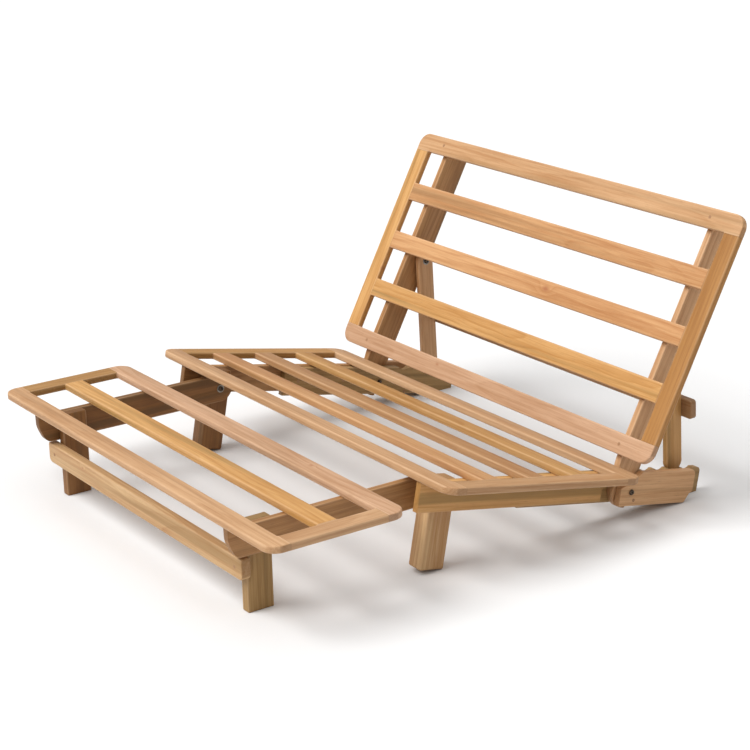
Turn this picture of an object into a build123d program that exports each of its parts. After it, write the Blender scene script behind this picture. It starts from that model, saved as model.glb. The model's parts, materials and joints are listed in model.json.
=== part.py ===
from build123d import *
from math import cos, radians, sin
import os

# Wooden tri-fold lounger frame: footrest, tilted seat, and a back held up by two props
# that stand in scalloped rails. Millimetres, X across the width, -Y towards the
# footrest, +Z up, with the floor at z = 0.

# ---- driving dimensions -------------------------------------------------------------
WIDTH = 1372.0          # overall width, 54 in
BOARD = 19.0            # thickness of every deck board and beam, 3/4 in
RAIL = 54.0             # width of the deck rails and slats
BEAM = 77.0             # depth of the beams on edge
CORNER_R = 37.0         # rounding of the decks' outer corners
EASE = 5.0              # round-over on the long edges
BEAM_EASE = 2.0         # round-over on the beams' edges

FOOT_DEPTH = 373.0      # footrest deck, front to back
FOOT_TOP = 249.0        # height of the level footrest deck
SEAT_DEPTH = 621.0      # seat deck along its slope
SEAT_TILT = 11.1        # seat slopes down to the rear
SEAT_FRONT = 489.0      # seat's front edge behind the footrest's front edge
SEAT_TOP = 270.9        # height of the seat's front top edge
BACK_LENGTH = 671.0     # back deck along its slope
BACK_TILT = 61.7        # back's angle above the floor
BACK_FRONT = 1103.4     # back's lower edge behind the footrest's front edge
BACK_LOW = 181.0        # height of the back's lower front edge

FOOT_BEAM_X = 478.0     # inner faces of the members, each side of the middle
SEAT_LEG_X = 503.0
RAIL_X = 535.0
SEAT_BEAM_X = 554.0
BACK_BEAM_X = 556.0
CHEEK_X = 577.0
PROP_X = 532.0

FOOT_LEG_T = 27.0       # footrest leg: thickness and width
FOOT_LEG_W = 70.0
FOOT_LEG_S = 60.0       # leg's front edge behind the footrest's front edge
STRETCHER_T = 25.0
STRETCHER_DROP = 6.0    # gap between the stretcher and the beams' undersides
SEAT_LEG_T = 51.0       # square-ish seat post
SEAT_LEG_W = 73.0
SEAT_LEG_S = 56.0       # post's front face along the seat's slope
POST_R = 7.0            # rounding of the post's upright edges

FOOT_PIVOT_S = 557.5    # footrest pivot behind the footrest's front edge
SEAT_BEAM_END = 590.0   # seat beam's rear end along the slope
BACK_PIVOT = (671.0, -67.5)     # back pivot along the seat and below its top face
BACK_BEAM_TOP = 652.0
PIVOT_END_R = 48.0      # rounded lower end of the back beam

TRACK_START = 330.0     # scalloped rail: ends, top and bottom in seat coordinates
TRACK_END = 948.0
TRACK_TOP = -23.0
TRACK_LOW = -105.0
SCALLOP_R = 27.0
SCALLOP_DEPTH = 9.0
SCALLOP_FIRST = 757.0
SCALLOP_PITCH = 48.0
SCALLOPS = 4
PROP_NOTCH = 2          # index of the scallop that holds the prop

CHEEK_START = 634.0     # outer cheek board
CHEEK_END = 891.0
CHEEK_TOP = -16.0
PACKER_TOP = -93.0      # strip between cheek and scalloped rail
PACKER_ENDS = (745.0, 860.0)

PROP_W = 52.0
PROP_PIVOT = (308.6, -71.0)     # prop pivot along the back and behind its front face
PROP_GAP = 0.6          # foot's clearance in its scallop
BAR_DROP = 173.0        # cross bar's middle below the prop pivot
BAR_W = 52.0
BAR_HALF = 586.0

BOLT_R = 4.0            # M8 hardware
HOLE_R = 4.05           # running fit around the bolts
WASHER_R = 11.0
HEAD_R = 7.5
HEAD_T = 4.5
SOCKET_R = 2.6          # hex socket in a bolt's head
SOCKET_DEPTH = 2.5
SCREW_R = 2.2           # wood screws under plugs
SCREW_HEAD_R = 4.2
SCREW_HEAD_T = 2.4
PLUG_R = 4.5
PLUG_T = 6.0
PLUG_PROUD = 0.3
PLUG_X = 567.0          # plugs over the back beams
PLUG_INSET = 25.0       # their distance from the deck's edge

# ---- frame of reference -------------------------------------------------------------
# The origin is under the middle of the bounding box, on the floor. The back beams'
# upper rear corners are the rearmost points, the footrest's front edge the foremost.
REAR = (BACK_FRONT + BACK_BEAM_TOP * cos(radians(BACK_TILT))
        + (BOARD + BEAM) * sin(radians(BACK_TILT)))
FRONT_Y = -REAR / 2


def deck_plane(front, height, tilt):
    """Plane on a deck's top face: local x is width, y runs up the slope, z is outward."""
    slope = radians(tilt)
    normal = (0, -sin(slope), cos(slope))
    return Plane(origin=(0, FRONT_Y + front, height), x_dir=(1, 0, 0), z_dir=normal)


FOOT = deck_plane(0, FOOT_TOP, 0)
SEAT = deck_plane(SEAT_FRONT, SEAT_TOP, -SEAT_TILT)
BACK = deck_plane(BACK_FRONT, BACK_LOW, BACK_TILT)


def edge_plane(deck, x):
    """Plane across a deck at width x: local x is along the slope, y is outward."""
    origin = deck.from_local_coords(Vector(x, 0, 0))
    return Plane(origin=origin, x_dir=deck.y_dir, z_dir=(1, 0, 0))


def lower_x(inner, thickness, side):
    """Smaller x of a member whose inner face is `inner` from the middle."""
    return inner if side == "right" else -inner - thickness


def in_back(point):
    """A point given along the seat, (along, outward), in the back's own coordinates."""
    world = SEAT.from_local_coords(Vector(0, point[0], point[1]))
    local = BACK.to_local_coords(world)
    return (local.Y, local.Z)


def in_seat(deck, point):
    """A point given along another deck, (along, outward), in seat coordinates."""
    world = deck.from_local_coords(Vector(0, point[0], point[1]))
    local = SEAT.to_local_coords(world)
    return (local.Y, local.Z)


PIVOT_IN_BACK = in_back(BACK_PIVOT)
FOOT_PIVOT = (FOOT_PIVOT_S, -BOARD - BEAM / 2)
FOOT_PIVOT_IN_SEAT = in_seat(FOOT, FOOT_PIVOT)
SCALLOP_HEIGHT = TRACK_TOP - SCALLOP_DEPTH + SCALLOP_R
PROP_FOOT = (SCALLOP_FIRST + PROP_NOTCH * SCALLOP_PITCH, SCALLOP_HEIGHT)

os.makedirs("parts", exist_ok=True)


def save(part, name):
    part.label = name
    export_step(part, f"parts/{name}.step")


# ---- deck boards --------------------------------------------------------------------
def end_rail(deck, middle, outer_side):
    """Full-width rail; its two corners on outer_side (+1 rear, -1 front) are rounded."""
    with BuildPart() as rail:
        with BuildSketch(deck.offset(-BOARD)) as outline:
            with Locations((0, middle)):
                Rectangle(WIDTH, RAIL)
            corners = outline.vertices().sort_by(Axis.Y)
            fillet(corners[-2:] if outer_side > 0 else corners[:2], CORNER_R)
        extrude(amount=BOARD)
        across = Axis(deck.origin, deck.z_dir)
        top = rail.faces().sort_by(across)[-1]
        bottom = rail.faces().sort_by(across)[0]
        fillet(top.edges() + bottom.edges(), EASE)
    return rail.part


def cross_slat(deck, middle):
    """Slat between the side rails; its ends butt against them."""
    with BuildPart() as slat:
        with BuildSketch(deck.offset(-BOARD)):
            with Locations((0, middle)):
                Rectangle(WIDTH - 2 * RAIL, RAIL)
        extrude(amount=BOARD)
        fillet(slat.edges().filter_by(Axis.X), EASE)
    return slat.part


def side_rail(deck, depth, side):
    """Rail at a deck's side, between its two end rails."""
    middle = (WIDTH - RAIL) / 2 * (1 if side == "right" else -1)
    with BuildPart() as rail:
        with BuildSketch(deck.offset(-BOARD)):
            with Locations((middle, depth / 2)):
                Rectangle(RAIL, depth - 2 * RAIL)
        extrude(amount=BOARD)
        fillet(rail.edges().filter_by(Axis(deck.origin, deck.y_dir)), EASE)
    return rail.part


def build_deck(name, deck, depth, slats, ends, sides):
    """All the boards of one deck, with its slats spaced evenly between the end rails."""
    save(end_rail(deck, RAIL / 2, -1), f"{name}_{ends[0]}_rail")
    save(end_rail(deck, depth - RAIL / 2, 1), f"{name}_{ends[1]}_rail")
    for side in ("left", "right"):
        save(side_rail(deck, depth, side), f"{name}_{side}_{sides}")
    pitch = (depth - RAIL) / (slats + 1)
    for number in range(1, slats + 1):
        label = f"{name}_slat" if slats == 1 else f"{name}_slat_{number}"
        save(cross_slat(deck, RAIL / 2 + number * pitch), label)


# ---- beams under the decks ----------------------------------------------------------
def ease_long_edges(part_builder, deck, radius):
    """Round the long straight edges that run along the deck's slope."""
    fillet(part_builder.edges().filter_by(Axis(deck.origin, deck.y_dir)), radius)


def footrest_beam(side):
    """Beam with a curved nose and a round rear end that turns on the pivot bolt."""
    low = -BOARD - BEAM
    nose = 38.0
    with BuildPart() as beam:
        with BuildSketch(edge_plane(FOOT, lower_x(FOOT_BEAM_X, BOARD, side))):
            with BuildLine():
                front = Line((3, -BOARD), (3.5, -BOARD - 20))
                curve = Spline(front @ 1, (12, low + 26), (nose, low), tangents=[(0, -1), (1, -0.15)])
                under = Line(curve @ 1, (FOOT_PIVOT_S, low))
                rear = RadiusArc(under @ 1, (FOOT_PIVOT_S, -BOARD), -BEAM / 2)
                Line(rear @ 1, front @ 0)
            make_face()
            with Locations(FOOT_PIVOT):
                Circle(HOLE_R, mode=Mode.SUBTRACT)
        extrude(amount=BOARD)
        ease_long_edges(beam, FOOT, BEAM_EASE)
    return beam.part


def seat_beam(side):
    """Straight beam on edge along the side of the seat."""
    with BuildPart() as beam:
        with BuildSketch(edge_plane(SEAT, lower_x(SEAT_BEAM_X, BOARD, side))):
            with Locations(((SEAT_BEAM_END + 6) / 2, -BOARD - BEAM / 2)):
                Rectangle(SEAT_BEAM_END - 6, BEAM)
        extrude(amount=BOARD)
        ease_long_edges(beam, SEAT, BEAM_EASE)
    return beam.part


def back_beam(side):
    """Beam behind the back, tapered and rounded at its lower end around the pivot."""
    along, out = PIVOT_IN_BACK
    rear = -BOARD - BEAM
    heel = along - (PIVOT_END_R ** 2 - (rear - out) ** 2) ** 0.5
    toe = (along + PIVOT_END_R * cos(radians(110)), out + PIVOT_END_R * sin(radians(110)))
    low = (along + PIVOT_END_R * cos(radians(155)), out + PIVOT_END_R * sin(radians(155)))
    with BuildPart() as beam:
        with BuildSketch(edge_plane(BACK, lower_x(BACK_BEAM_X, BOARD, side))):
            with BuildLine():
                face = Line((BACK_BEAM_TOP, -BOARD), (0, -BOARD))
                taper = Line(face @ 1, toe)
                end = ThreePointArc(taper @ 1, low, (heel, rear))
                back = Line(end @ 1, (BACK_BEAM_TOP, rear))
                Line(back @ 1, face @ 0)
            make_face()
            with Locations(PIVOT_IN_BACK, PROP_PIVOT):
                Circle(HOLE_R, mode=Mode.SUBTRACT)
        extrude(amount=BOARD)
        ease_long_edges(beam, BACK, BEAM_EASE)
    return beam.part


# ---- legs and stretcher -------------------------------------------------------------
def footrest_leg(side):
    """Flat leg inside the footrest beam, from the floor to under the deck."""
    inner = FOOT_BEAM_X - FOOT_LEG_T
    middle = (inner + FOOT_LEG_T / 2) * (1 if side == "right" else -1)
    with BuildPart() as leg:
        with BuildSketch(Plane.XY):
            with Locations((middle, FRONT_Y + FOOT_LEG_S + FOOT_LEG_W / 2)):
                Rectangle(FOOT_LEG_T, FOOT_LEG_W)
        extrude(amount=FOOT_TOP - BOARD)
        fillet(leg.edges().filter_by(Axis.Z), EASE)
    return leg.part


def footrest_stretcher():
    """Board across the fronts of the footrest legs, just under the two beams."""
    half = FOOT_BEAM_X + BOARD
    top = FOOT_TOP - BOARD - BEAM - STRETCHER_DROP
    with BuildPart() as board:
        with BuildSketch(Plane.XZ.offset(-(FRONT_Y + FOOT_LEG_S))) as outline:
            with Locations((0, top - RAIL / 2)):
                Rectangle(2 * half, RAIL)
            fillet(outline.vertices().sort_by(Axis.Y)[:2], 14)
        extrude(amount=STRETCHER_T)
        fillet(board.edges().filter_by(Axis.X), EASE)
    return board.part


def seat_leg(side):
    """Post square to the seat, so it leans forward and stands on its rear lower edge."""
    x = lower_x(SEAT_LEG_X, SEAT_LEG_T, side) + SEAT_LEG_T / 2
    rear = SEAT_LEG_S + SEAT_LEG_W
    slope = radians(SEAT_TILT)
    foot = (SEAT_TOP - rear * sin(slope)) / cos(slope)
    with BuildPart() as leg:
        with BuildSketch(SEAT.offset(-foot)):
            with Locations((x, SEAT_LEG_S + SEAT_LEG_W / 2)):
                Rectangle(SEAT_LEG_T, SEAT_LEG_W)
        extrude(amount=foot - BOARD - 0.5)
        upright = leg.edges().filter_by(Axis(SEAT.origin, SEAT.z_dir))
        fillet(upright, POST_R)
        with BuildSketch(edge_plane(SEAT, x - SEAT_LEG_T / 2)):
            with Locations(FOOT_PIVOT_IN_SEAT):
                Circle(HOLE_R)
        extrude(amount=SEAT_LEG_T, mode=Mode.SUBTRACT)
    return leg.part


# ---- rails that carry the back and the props ----------------------------------------
def floor_line(along):
    """Outward coordinate, in seat coordinates, of the floor under a point."""
    slope = radians(SEAT_TILT)
    return -(SEAT_TOP - along * sin(slope)) / cos(slope)


def track_rail(side):
    """Rail with scallops along its top edge and a flat sole cut where it meets the floor."""
    slope = radians(SEAT_TILT)
    sole = (SEAT_TOP + TRACK_LOW * cos(slope)) / sin(slope)
    with BuildPart() as rail:
        with BuildSketch(edge_plane(SEAT, lower_x(RAIL_X, BOARD, side))) as profile:
            with BuildLine():
                Polyline((TRACK_START, TRACK_TOP), (TRACK_START, TRACK_LOW), (sole, TRACK_LOW),
                         (TRACK_END, floor_line(TRACK_END)), (TRACK_END, TRACK_TOP), close=True)
            make_face()
            front_top = profile.vertices().sort_by(Axis.X)[:2].sort_by(Axis.Y)[-1]
            rear_top = profile.vertices().sort_by(Axis.X)[-2:].sort_by(Axis.Y)[-1]
            fillet([front_top, rear_top], 12)
            for number in range(SCALLOPS):
                with Locations((SCALLOP_FIRST + number * SCALLOP_PITCH, SCALLOP_HEIGHT)):
                    Circle(SCALLOP_R, mode=Mode.SUBTRACT)
            with Locations(BACK_PIVOT):
                Circle(HOLE_R, mode=Mode.SUBTRACT)
        extrude(amount=BOARD)
    return rail.part


def cheek(side):
    """Outer board that carries the other end of the back pivot bolt."""
    with BuildPart() as board:
        with BuildSketch(edge_plane(SEAT, lower_x(CHEEK_X, BOARD, side))) as profile:
            with BuildLine():
                Polyline((CHEEK_START, TRACK_LOW), (CHEEK_END - 27, TRACK_LOW),
                         (CHEEK_END - 12, TRACK_LOW + 24), (CHEEK_END, TRACK_LOW + 32),
                         (CHEEK_END, CHEEK_TOP), (CHEEK_START + 70, CHEEK_TOP),
                         (CHEEK_START + 26, CHEEK_TOP - 30), (CHEEK_START, CHEEK_TOP - 42),
                         close=True)
            make_face()
            top_corner = profile.vertices().sort_by(Axis.X)[-2:].sort_by(Axis.Y)[-1]
            fillet(top_corner, 14)
            with Locations(BACK_PIVOT):
                Circle(HOLE_R, mode=Mode.SUBTRACT)
        extrude(amount=BOARD)
        ease_long_edges(board, SEAT, BEAM_EASE)
    return board.part


def packer(side):
    """Strip that joins the cheek to the scalloped rail behind the back beam."""
    start = RAIL_X + BOARD
    thickness = CHEEK_X - start
    with BuildPart() as strip:
        with BuildSketch(edge_plane(SEAT, lower_x(start, thickness, side))):
            with Locations((sum(PACKER_ENDS) / 2, (PACKER_TOP + TRACK_LOW) / 2)):
                Rectangle(PACKER_ENDS[1] - PACKER_ENDS[0], PACKER_TOP - TRACK_LOW)
        extrude(amount=thickness)
    return strip.part


# ---- props --------------------------------------------------------------------------
def prop_plane(x):
    """Plane across the prop: origin on its pivot, local x down its length."""
    pivot = BACK.from_local_coords(Vector(0, *PROP_PIVOT))
    foot = SEAT.from_local_coords(Vector(0, *PROP_FOOT))
    down = (foot - pivot).normalized()
    return Plane(origin=(x, pivot.Y, pivot.Z), x_dir=down, z_dir=(1, 0, 0))


def prop_length():
    pivot = BACK.from_local_coords(Vector(0, *PROP_PIVOT))
    foot = SEAT.from_local_coords(Vector(0, *PROP_FOOT))
    return (foot - pivot).length


def prop(side):
    """Post with round ends: the upper one turns on its bolt, the lower one sits in a scallop."""
    foot_r = SCALLOP_R - PROP_GAP
    length = prop_length()
    with BuildPart() as post:
        with BuildSketch(prop_plane(lower_x(PROP_X, BOARD, side))):
            with Locations((length / 2, 0)):
                Rectangle(length, PROP_W)
            Circle(PROP_W / 2)
            with Locations((length, 0)):
                Circle(foot_r)
            Circle(HOLE_R, mode=Mode.SUBTRACT)
        extrude(amount=BOARD)
    return post.part


def prop_bar():
    """Board across the rear edges of both props, reaching past them on each side."""
    plane = prop_plane(0)
    rear = Plane(origin=plane.from_local_coords(Vector(BAR_DROP, PROP_W / 2, 0)),
                 x_dir=(1, 0, 0), z_dir=plane.y_dir)
    with BuildPart() as bar:
        with BuildSketch(rear) as outline:
            Rectangle(2 * BAR_HALF, BAR_W)
            fillet(outline.vertices(), 9)
        extrude(amount=BOARD)
        fillet(bar.edges().filter_by(Axis.X), EASE)
    return bar.part


# ---- fasteners ----------------------------------------------------------------------
def washer(plane, thickness):
    """Flat washer on a bolt axis, built upward from the plane."""
    with BuildPart() as ring:
        with BuildSketch(plane):
            Circle(WASHER_R)
            Circle(HOLE_R, mode=Mode.SUBTRACT)
        extrude(amount=thickness)
    return ring.part


def bolt(plane, length):
    """Button-head bolt: the plane lies under the head, the shank runs against its normal."""
    with BuildPart() as pin:
        with BuildSketch(plane):
            Circle(HEAD_R)
        extrude(amount=HEAD_T)
        fillet(pin.edges().group_by(Axis(plane.origin, plane.z_dir))[-1], HEAD_T * 0.6)
        with BuildSketch(plane):
            Circle(BOLT_R)
        extrude(amount=-length)
        with BuildSketch(plane.offset(HEAD_T)):
            RegularPolygon(SOCKET_R, 6)
        extrude(amount=-SOCKET_DEPTH, mode=Mode.SUBTRACT)
    return pin.part


def dome_nut(plane):
    """Cap nut on the end of a pivot bolt, closed on its outer side."""
    with BuildPart() as nut:
        with BuildSketch(plane):
            RegularPolygon(HEAD_R, 6)
        extrude(amount=HEAD_T)
        with BuildSketch(plane.offset(HEAD_T)):
            Circle(HEAD_R * 0.8)
        extrude(amount=2.5)
        fillet(nut.edges().group_by(Axis(plane.origin, plane.z_dir))[-1], 2)
    return nut.part


def wood_screw(plane, length):
    """Countersunk screw whose head lies under a plug; the shank runs against the normal."""
    with BuildPart() as screw:
        with BuildSketch(plane.offset(-PLUG_T)):
            Circle(SCREW_HEAD_R)
        extrude(amount=-SCREW_HEAD_T, taper=38)
        with BuildSketch(plane.offset(-PLUG_T)):
            Circle(SCREW_R)
        extrude(amount=-length)
    return screw.part


def plug(plane):
    """Face-grain wood plug standing a hair proud of its board."""
    with BuildPart() as cap:
        with BuildSketch(plane.offset(-PLUG_T)):
            Circle(PLUG_R)
        extrude(amount=PLUG_T + PLUG_PROUD)
    return cap.part


def across(deck, point, x, outward):
    """Plane on a sideways axis through a deck point, with its normal towards outward x."""
    centre = deck.from_local_coords(Vector(0, point[0], point[1]))
    return Plane(origin=(x, centre.Y, centre.Z), x_dir=(0, 1, 0), z_dir=(outward, 0, 0))


def group(pieces, name):
    """Several identical loose fasteners kept as separate solids in one node."""
    save(Compound(children=list(pieces)), name)


# ---- build everything ---------------------------------------------------------------
build_deck("footrest", FOOT, FOOT_DEPTH, 1, ("front", "back"), "rail")
build_deck("seat", SEAT, SEAT_DEPTH, 3, ("front", "back"), "rail")
build_deck("back", BACK, BACK_LENGTH, 3, ("bottom", "top"), "stile")

makers = {
    "footrest_{}_beam": footrest_beam,
    "footrest_{}_leg": footrest_leg,
    "seat_{}_beam": seat_beam,
    "seat_{}_leg": seat_leg,
    "{}_track_rail": track_rail,
    "{}_cheek": cheek,
    "{}_packer": packer,
    "back_{}_beam": back_beam,
    "{}_prop": prop,
}
for pattern, maker in makers.items():
    for side in ("left", "right"):
        save(maker(side), pattern.format(side))
save(footrest_stretcher(), "footrest_stretcher")
save(prop_bar(), "prop_cross_bar")

signs = (-1, 1)
clear = 0.1
foot_gap = SEAT_LEG_X - FOOT_BEAM_X - BOARD
prop_gap = BACK_BEAM_X - PROP_X - BOARD
cheek_gap = CHEEK_X - BACK_BEAM_X - BOARD
track_gap = BACK_BEAM_X - RAIL_X - BOARD

group([bolt(across(FOOT, FOOT_PIVOT, s * (FOOT_BEAM_X - 2), -s), foot_gap + BOARD + 42)
       for s in signs], "footrest_pivot_bolts")
group([washer(across(FOOT, FOOT_PIVOT, s * (FOOT_BEAM_X - 2), s), 2 - clear) for s in signs]
      + [washer(across(FOOT, FOOT_PIVOT, s * (FOOT_BEAM_X + BOARD + clear), s), foot_gap - clear)
         for s in signs], "footrest_pivot_washers")

group([bolt(across(SEAT, BACK_PIVOT, s * (CHEEK_X + BOARD), s), CHEEK_X + BOARD - RAIL_X + 4)
       for s in signs], "back_pivot_bolts")
group([washer(across(SEAT, BACK_PIVOT, s * (CHEEK_X - cheek_gap + clear), s), cheek_gap - clear)
       for s in signs]
      + [washer(across(SEAT, BACK_PIVOT, s * (BACK_BEAM_X - track_gap), s), track_gap - clear)
         for s in signs], "back_pivot_washers")
group([dome_nut(across(SEAT, BACK_PIVOT, s * RAIL_X, -s)) for s in signs], "back_pivot_nuts")

group([bolt(across(BACK, PROP_PIVOT, s * (PROP_X - 2), -s), 2 * BOARD + prop_gap + 6)
       for s in signs], "prop_pivot_bolts")
group([washer(across(BACK, PROP_PIVOT, s * (PROP_X - 2), s), 2 - clear) for s in signs]
      + [washer(across(BACK, PROP_PIVOT, s * (PROP_X + BOARD + clear), s), prop_gap - clear)
         for s in signs], "prop_pivot_washers")
group([dome_nut(across(BACK, PROP_PIVOT, s * (BACK_BEAM_X + BOARD), s)) for s in signs],
      "prop_pivot_nuts")


def plugged_screws(planes, length, name):
    """Wood screws in counterbores, one node of screws and one of the plugs over them."""
    group([wood_screw(plane, length) for plane in planes], name + "_screws")
    group([plug(plane) for plane in planes], name + "_plugs")


# Screws run outward from the inner face of a member into the one beside it.
foot_leg_middle = FOOT_LEG_S + FOOT_LEG_W / 2
foot_leg_x = FOOT_BEAM_X - FOOT_LEG_T
beam_middle = -BOARD - BEAM / 2
plugged_screws([across(FOOT, (foot_leg_middle, beam_middle + step), s * foot_leg_x, -s)
                for s in signs for step in (-18, 18)], FOOT_LEG_T + 8, "footrest_leg")
plugged_screws([across(SEAT, (SEAT_LEG_S + 52, beam_middle + step), s * SEAT_LEG_X, -s)
                for s in signs for step in (-25, 25)], SEAT_LEG_T + 8, "seat_leg")
packer_middle = (PACKER_TOP + TRACK_LOW) / 2
rail_spots = ((380, -62), (540, -62), (770, packer_middle), (835, packer_middle))
plugged_screws([across(SEAT, spot, s * RAIL_X, -s) for s in signs for spot in rail_spots],
               BOARD + 9, "track_rail")

# The cross bar is screwed to the rear edges of the props, through its own rear face.
prop_middle = PROP_X + BOARD / 2


def bar_spot(x, drop):
    """Plane on the cross bar's rear face, facing rearward."""
    plane = prop_plane(0)
    origin = plane.from_local_coords(Vector(drop, PROP_W / 2 + BOARD, x))
    return Plane(origin=origin, x_dir=(1, 0, 0), z_dir=plane.y_dir)


plugged_screws([bar_spot(s * prop_middle, BAR_DROP + step) for s in signs for step in (-14, 14)],
               BOARD + 20, "prop_bar")

plug_rows = (PLUG_INSET, BACK_LENGTH - PLUG_INSET)
group([plug(Plane(origin=BACK.from_local_coords(Vector(s * PLUG_X, row, 0)),
                  x_dir=(1, 0, 0), z_dir=BACK.z_dir)) for s in signs for row in plug_rows],
      "back_plugs")
stretcher_y = FRONT_Y + FOOT_LEG_S - STRETCHER_T
stretcher_z = FOOT_TOP - BOARD - BEAM - STRETCHER_DROP - RAIL / 2
group([plug(Plane(origin=(s * (foot_leg_x + FOOT_LEG_T / 2), stretcher_y, stretcher_z),
                  x_dir=(1, 0, 0), z_dir=(0, -1, 0))) for s in signs], "stretcher_plugs")
group([plug(across(SEAT, (BACK_PIVOT[0] + 12, BACK_PIVOT[1] - 22), s * (CHEEK_X + BOARD), s))
       for s in signs], "cheek_plugs")
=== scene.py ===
# %% [markdown]
# # A wooden tri-fold lounger frame
# The real frame is about forty boards of one pale hardwood: a level footrest, a seat
# that slopes to the rear, and a back held up by two props. Every board was sawn,
# planed and run past a router, so it is a straight stick with softly rounded edges, and
# each one shows its own piece of the tree. The lesson follows the workshop: load the
# measured frame, cut the boards, make the hardware, then make one wood finish that gives
# every board its own rings, streaks and colour.

# %% Load the measured frame
import json
import math
import random

import bpy
from mathutils import Matrix, Vector


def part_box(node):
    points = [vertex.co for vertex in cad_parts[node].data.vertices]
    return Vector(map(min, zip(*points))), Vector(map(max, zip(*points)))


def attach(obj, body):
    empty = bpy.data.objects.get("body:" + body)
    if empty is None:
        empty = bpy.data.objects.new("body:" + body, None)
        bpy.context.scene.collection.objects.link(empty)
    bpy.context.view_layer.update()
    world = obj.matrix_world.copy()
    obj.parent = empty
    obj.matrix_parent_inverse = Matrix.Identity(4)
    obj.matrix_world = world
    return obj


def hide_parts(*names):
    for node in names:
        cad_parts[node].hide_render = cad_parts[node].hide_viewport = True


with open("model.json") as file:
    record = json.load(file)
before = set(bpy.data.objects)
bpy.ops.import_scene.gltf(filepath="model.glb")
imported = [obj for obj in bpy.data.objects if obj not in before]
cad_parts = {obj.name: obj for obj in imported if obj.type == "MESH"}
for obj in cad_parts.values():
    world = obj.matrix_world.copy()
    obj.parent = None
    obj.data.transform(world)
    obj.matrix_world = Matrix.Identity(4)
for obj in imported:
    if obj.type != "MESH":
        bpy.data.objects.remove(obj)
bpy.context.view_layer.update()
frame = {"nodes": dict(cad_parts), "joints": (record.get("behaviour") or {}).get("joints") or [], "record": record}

nodes = frame["nodes"]

# %% [markdown]
# ## Which way every board lies
# A board has a length, a width and a thickness, and those three directions are all that
# the saw, the router and the grain care about. They could be worked out from each mesh,
# but there are only a few of them on this frame, so each is written once as a rotation
# whose columns are length, width and thickness. Measuring a CAD node along its own
# directions then gives its exact size and middle.

# %% Directions of the boards
SEAT_TILT = math.radians(-11.1)
BACK_TILT = math.radians(61.7)


def turned(length, width):
    """Rotation whose columns are a board's length, width and thickness directions."""
    length = Vector(length).normalized()
    width = Vector(width).normalized()
    return Matrix((length, width, length.cross(width))).transposed()


def slope(angle):
    """Direction that runs up a deck of that tilt."""
    return Vector((0, math.cos(angle), math.sin(angle)))


def measure(node, turn):
    """Middle and size of a CAD node along the directions of a rotation."""
    local = [turn.transposed() @ v.co for v in nodes[node].data.vertices]
    low = Vector([min(v[i] for v in local) for i in range(3)])
    high = Vector([max(v[i] for v in local) for i in range(3)])
    return turn @ ((low + high) / 2), high - low


# A prop's length runs from its pivot to the middle of its round foot.
PROP_FOOT_RADIUS = 0.0264
prop_low, prop_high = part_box("left_prop")
prop_pivot = Vector(frame["joints"][2]["pos_m"])
prop_foot = Vector((0, prop_high.y - PROP_FOOT_RADIUS, prop_low.z + PROP_FOOT_RADIUS))
prop_down = (prop_foot - Vector((0, prop_pivot.y, prop_pivot.z))).normalized()

tilts = {"footrest": 0.0, "seat": SEAT_TILT, "back": BACK_TILT}
lies = {}
for deck, tilt in tilts.items():
    up_deck = slope(tilt)
    out_of_deck = Vector((1, 0, 0)).cross(up_deck)
    lies[deck + "_cross"] = turned((1, 0, 0), up_deck)
    lies[deck + "_side"] = turned(up_deck, (-1, 0, 0))
    lies[deck + "_beam"] = turned(up_deck, out_of_deck)
lies["upright"] = turned((0, 0, 1), (0, -1, 0))
lies["seat_upright"] = turned(Vector((1, 0, 0)).cross(slope(SEAT_TILT)), -slope(SEAT_TILT))
lies["stretcher"] = turned((1, 0, 0), (0, 0, 1))
lies["prop"] = turned(prop_down, prop_down.cross(Vector((1, 0, 0))))
lies["bar"] = turned((1, 0, 0), prop_down)
print("directions for", len(lies), "kinds of board")

# %% Which node lies which way
board_lie = {}
for node in nodes:
    deck = node.split("_")[0]
    if node.endswith("slat") or "_slat_" in node:
        board_lie[node] = deck + "_cross"
    elif node.endswith(("front_rail", "bottom_rail", "top_rail", "back_rail")):
        board_lie[node] = deck + "_cross"
    elif node.endswith("stile") or (node.endswith("rail") and deck in tilts):
        board_lie[node] = deck + "_side"
    elif node.endswith("beam"):
        board_lie[node] = deck + "_beam"
    elif node.endswith(("track_rail", "cheek", "packer")):
        board_lie[node] = "seat_beam"
board_lie.update(footrest_left_leg="upright", footrest_right_leg="upright",
                 seat_left_leg="seat_upright", seat_right_leg="seat_upright",
                 footrest_stretcher="stretcher", left_prop="prop", right_prop="prop",
                 prop_cross_bar="bar")
print(len(board_lie), "boards")

# %% [markdown]
# ## Small helpers for working by hand
# Every piece below is worked the way it would be in the window: choose some edges, run
# an operator on them, go back to object mode. Operators act on whatever is selected, so
# each step starts by selecting one piece and clearing the rest. A finished piece is cut
# lying flat at the origin and only then laid in its place.

# %% Helpers that choose, round and lay a piece
body_of_node = {n: body for body, group in frame["record"]["behaviour"]["bodies"].items()
                for n in group}
slot_of_node = {s["node"]: s["material_slot"] for s in frame["record"]["subparts"]}


def pick(piece):
    """Makes a piece the only selected and active one, in object mode."""
    bpy.ops.object.select_all(action="DESELECT")
    bpy.context.view_layer.objects.active = piece
    piece.select_set(True)


def choose_edges(piece, wanted):
    """Opens a piece for editing with the edges for which wanted(end, end) is true."""
    pick(piece)
    bpy.ops.object.mode_set(mode="EDIT")
    bpy.ops.mesh.select_mode(type="EDGE")
    bpy.ops.mesh.select_all(action="DESELECT")
    bpy.ops.object.mode_set(mode="OBJECT")
    points = piece.data.vertices
    for edge in piece.data.edges:
        edge.select = wanted(*[points[i].co for i in edge.vertices])
    bpy.ops.object.mode_set(mode="EDIT")


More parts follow.
